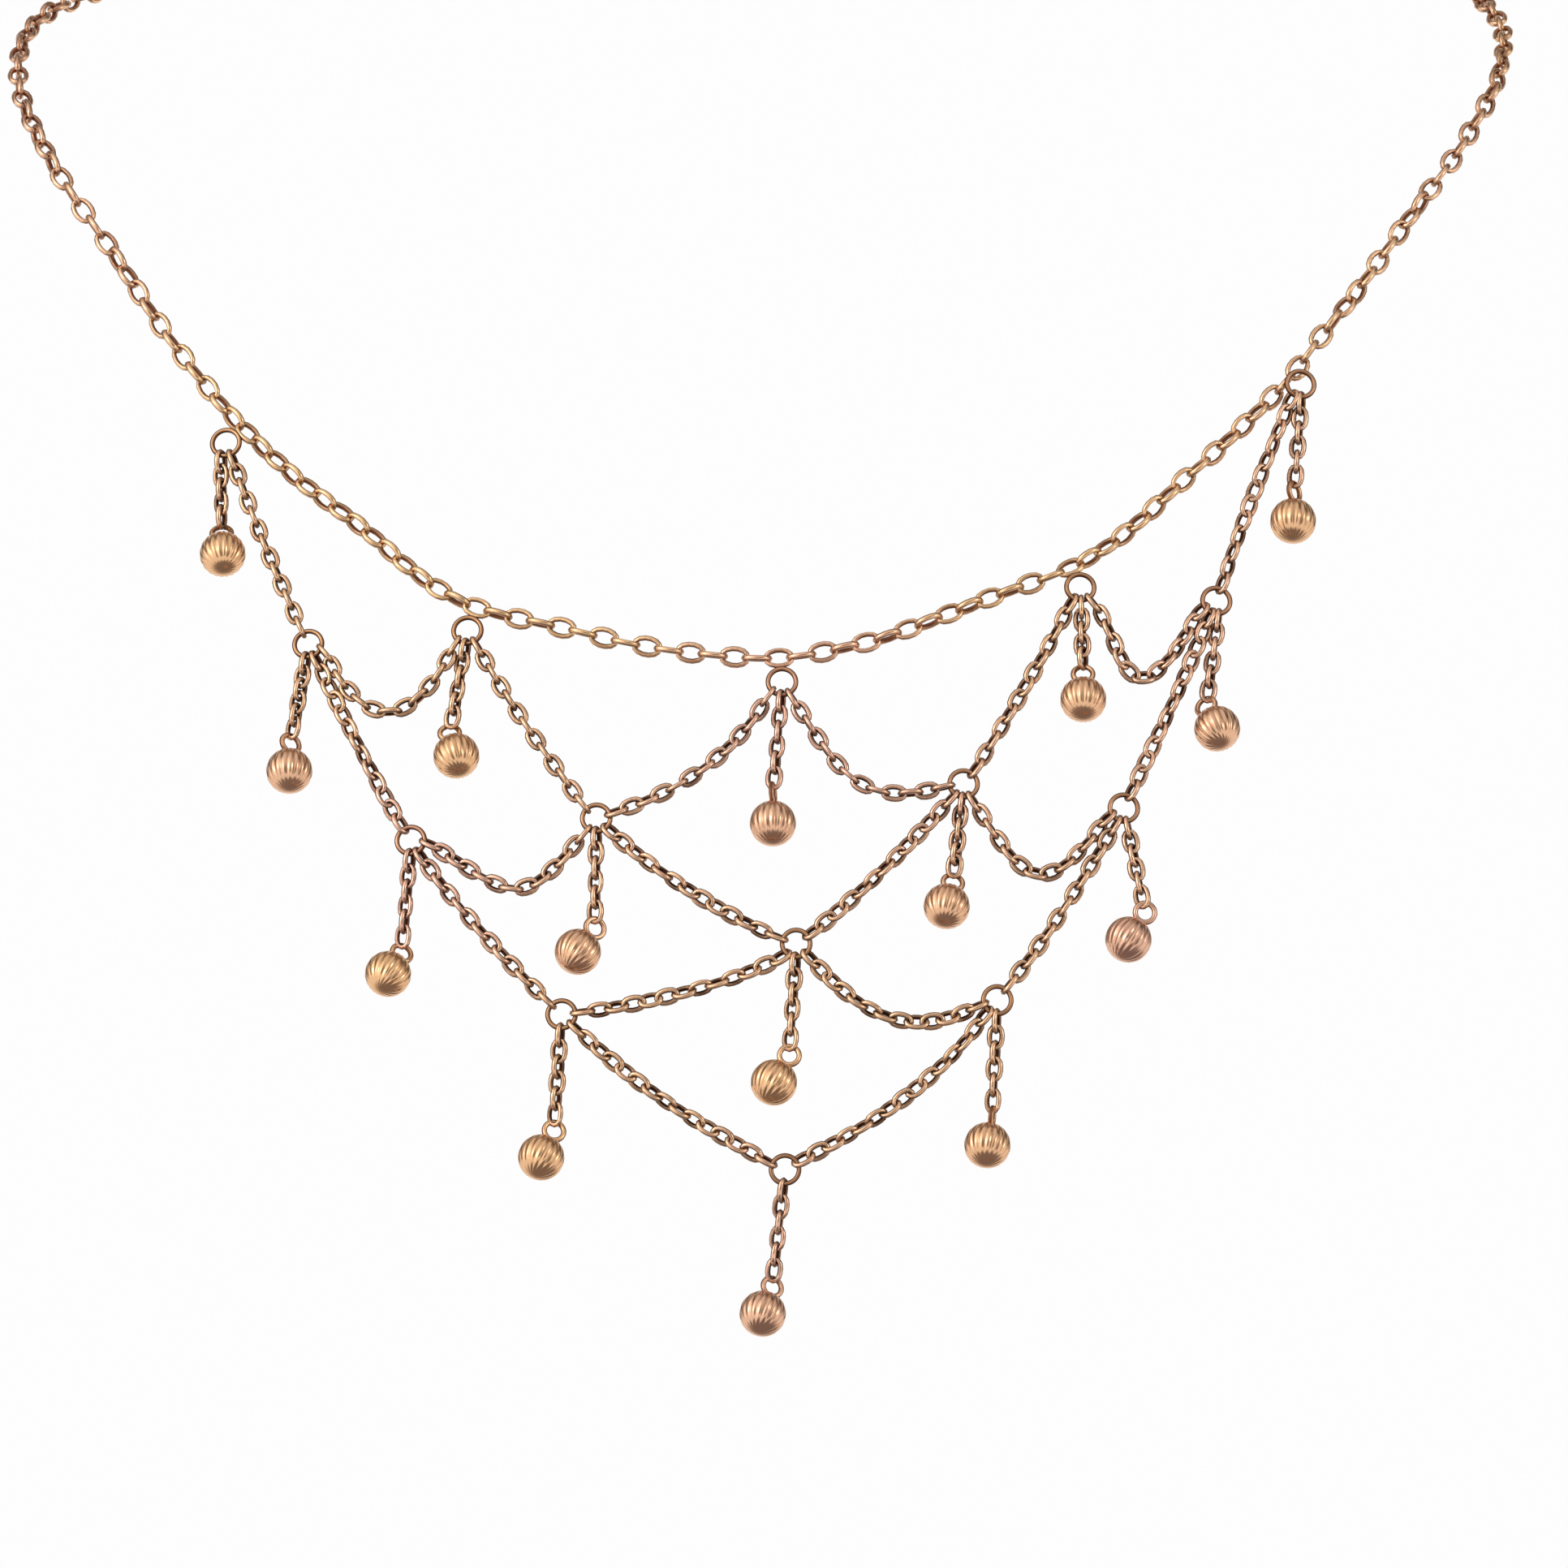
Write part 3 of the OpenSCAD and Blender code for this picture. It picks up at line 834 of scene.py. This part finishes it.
# A row for each drop: its ring, the angle at which it leaves it, x and z of the ball, the
# direction from the ball to its bail seen from the front, how far that end tips back, the turn
# of the bail, and the number of links
DROPS = [
    ("a1", -112, -55.4, -25.6, 94, 50, 0, 5),
    ("a2", -97, -32, -45.7, 107, 44, 10, 6),
    ("a3", -93, -0.6, -52.4, 90, 25, 80, 6),
    ("a4", -86, 30.2, -40.1, 90, 40, 0, 5),
    ("a5", -86, 51.2, -22.3, 87, 28, 55, 6),
    ("b1", -100, -48.6, -47.2, 88, 34, 30, 6),
    ("b2", -90, -19.9, -65.1, 54, 28, 10, 6),
    ("b3", -96, 16.6, -60.6, 75, 42, 0, 6),
    ("b4", -79, 43.5, -43, 116, 42, -10, 6),
    ("c1", -94, -38.7, -67.3, 57, 42, 0, 6),
    ("c2", -93, -0.5, -78, 60, 20, -10, 6),
    ("c3", -78, 34.6, -63.9, 58, 16, 0, 6),
    ("d1", -95, -23.5, -85.4, 64, 28, 0, 6),
    ("d2", -92, 20.6, -84.2, 80, 32, 80, 6),
    ("e1", -97, -1.6, -100.8, 70, 32, 15, 6),
]


def ball_axes(drop):
    """Middle of a ball, its bail's wide axis, the axis square to the bail, and the way up."""
    name, leave, x, z, aim, tip, turn, count = drop
    aim, tip, turn = radians(aim), radians(tip), radians(turn)
    up = Vector((cos(tip) * cos(aim), sin(tip), cos(tip) * sin(aim)))
    side = up.cross(Vector((0, 1, 0))).normalized()
    front = up.cross(side)
    middle = chest(x, z) - Vector((0, ball_proud, 0))
    return middle, cos(turn) * side + sin(turn) * front, cos(turn) * front - sin(turn) * side, up


for row in "abcde":
    bm = bmesh.new()
    for drop in DROPS:
        name, leave, *_, count = drop
        if name[0] == row:
            ring = ring_middle[name]
            middle, _, _, up = ball_axes(drop)
            top = ring + ring_radius * chest_along(ring, leave)
            bail = middle + bail_reach * up
            bottom = bail + bail_radius * (top - bail).normalized()
            steps = 8
            curve = [top.lerp(bottom, k / steps) for k in range(steps + 1)]
            lay_links(bm, curve, count, DROP_LIES)
    piece = keep_mesh(bm, "links_drops_" + row)
    piece.data.materials.append(fine_gold)
    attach(piece, "root")
    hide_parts("drops_" + row)

# Balls: fifteen hollow balls of thin gold sheet, pressed in two halves and soldered. Twenty
# rounded ribs with narrow grooves between them run from pole to pole, and the bail is on top.
flute_count = 20
flute_depth = 0.085
groove_sharpness = 1.2
pole_fade = 1.15


def fluted_ball():
    """Mesh of one fluted ball with its poles on the Z axis."""
    bm = bmesh.new()
    bmesh.ops.create_uvsphere(bm, u_segments=flute_count * 8, v_segments=40, radius=ball_radius)
    painted_shade = bm.verts.layers.float.new("painted_shade")
    for v in bm.verts:
        flat = v.co.xy.length
        if flat > 1e-4:
            turn = v.co.xy.angle_signed(Vector((1, 0)))
            wave = (0.5 + 0.5 * cos(turn * flute_count)) ** groove_sharpness
            groove = wave * min(1, (flat / ball_radius * pole_fade) ** 2)
            v.co *= 1 - flute_depth / ball_radius * groove
            # Painted shade in the groove, as strong as the groove is deep
            v[painted_shade] = groove
    bmesh.ops.recalc_face_normals(bm, faces=bm.faces)
    mesh = bpy.data.meshes.new("one_ball")
    bm.to_mesh(mesh)
    bm.free()
    return mesh


def add_copy(bm, mesh, matrix):
    """Adds a mesh to a bmesh where a matrix puts it."""
    copy = mesh.copy()
    copy.transform(matrix)
    bm.from_mesh(copy)
    bpy.data.meshes.remove(copy)


def bail_ring():
    """Mesh of one bail, round wire in the plane of X and Z, where it is sunk into the ball."""
    # Painted shade: a little on the bail's face, and more on its sides
    face_painted_shade = 0.4
    more_on_sides = 1.2
    bm = wire_ring(bail_wire, bail_radius, sides=10, steps=28)
    painted_shade = bm.verts.layers.float["painted_shade"]
    for v in bm.verts:
        v[painted_shade] = face_painted_shade + more_on_sides * v[painted_shade]
    bmesh.ops.rotate(bm, cent=(0, 0, 0), matrix=Matrix.Rotation(pi / 2, 3, "X"), verts=bm.verts)
    bmesh.ops.translate(bm, vec=(0, 0, bail_reach), verts=bm.verts)
    mesh = bpy.data.meshes.new("one_bail")
    bm.to_mesh(mesh)
    bm.free()
    return mesh


def rosiness_of_ball(tree):
    """Tone that is stored on each ball."""
    return add_node(tree, "ShaderNodeAttribute", {"attribute_name": "rosiness"}).outputs["Fac"]


# Pressed sheet is duller than wire. Painted shade darkens its grooves and the sides of the bail.
ball_gold = polished_gold(
    "pressed_9ct_gold",
    yellow="#FCCA9A",
    rosy="#F5C3A8",
    rosiness=rosiness_of_ball,
    painted_shade_colour="#7A4A30",
    roughness=0.18,
    cloud_mm=1.5,
    painted_shade=painted_shade_of_mesh,
    painted_shade_from=0.5,
    painted_shade_to=1.6,
)

# Tone of each ball, from 0, the yellowest, to 1, the rosiest
BALL_ROSINESS = {
    "a1": 0.1, "a2": 0.1, "a3": 0.7, "a4": 0.4, "a5": 0.2, "b1": 0.6, "b2": 0.5, "b3": 0.5,
    "b4": 0.6, "c1": 0, "c2": 0.1, "c3": 1, "d1": 0.1, "d2": 0.3, "e1": 0.8,
}
ball_mesh = fluted_ball()
bail_mesh = bail_ring()
for drop in DROPS:
    middle, wide, square, _ = ball_axes(drop)
    stand = placement(middle, wide, square)
    bm = bmesh.new()
    add_copy(bm, ball_mesh, stand)
    add_copy(bm, bail_mesh, stand)
    rosiness = bm.verts.layers.float.new("rosiness")
    for v in bm.verts:
        v[rosiness] = BALL_ROSINESS[drop[0]]
    piece = keep_mesh(bm, "fluted_ball_" + drop[0])
    piece.data.materials.append(ball_gold)
    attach(piece, "root")
    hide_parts("ball_" + drop[0])
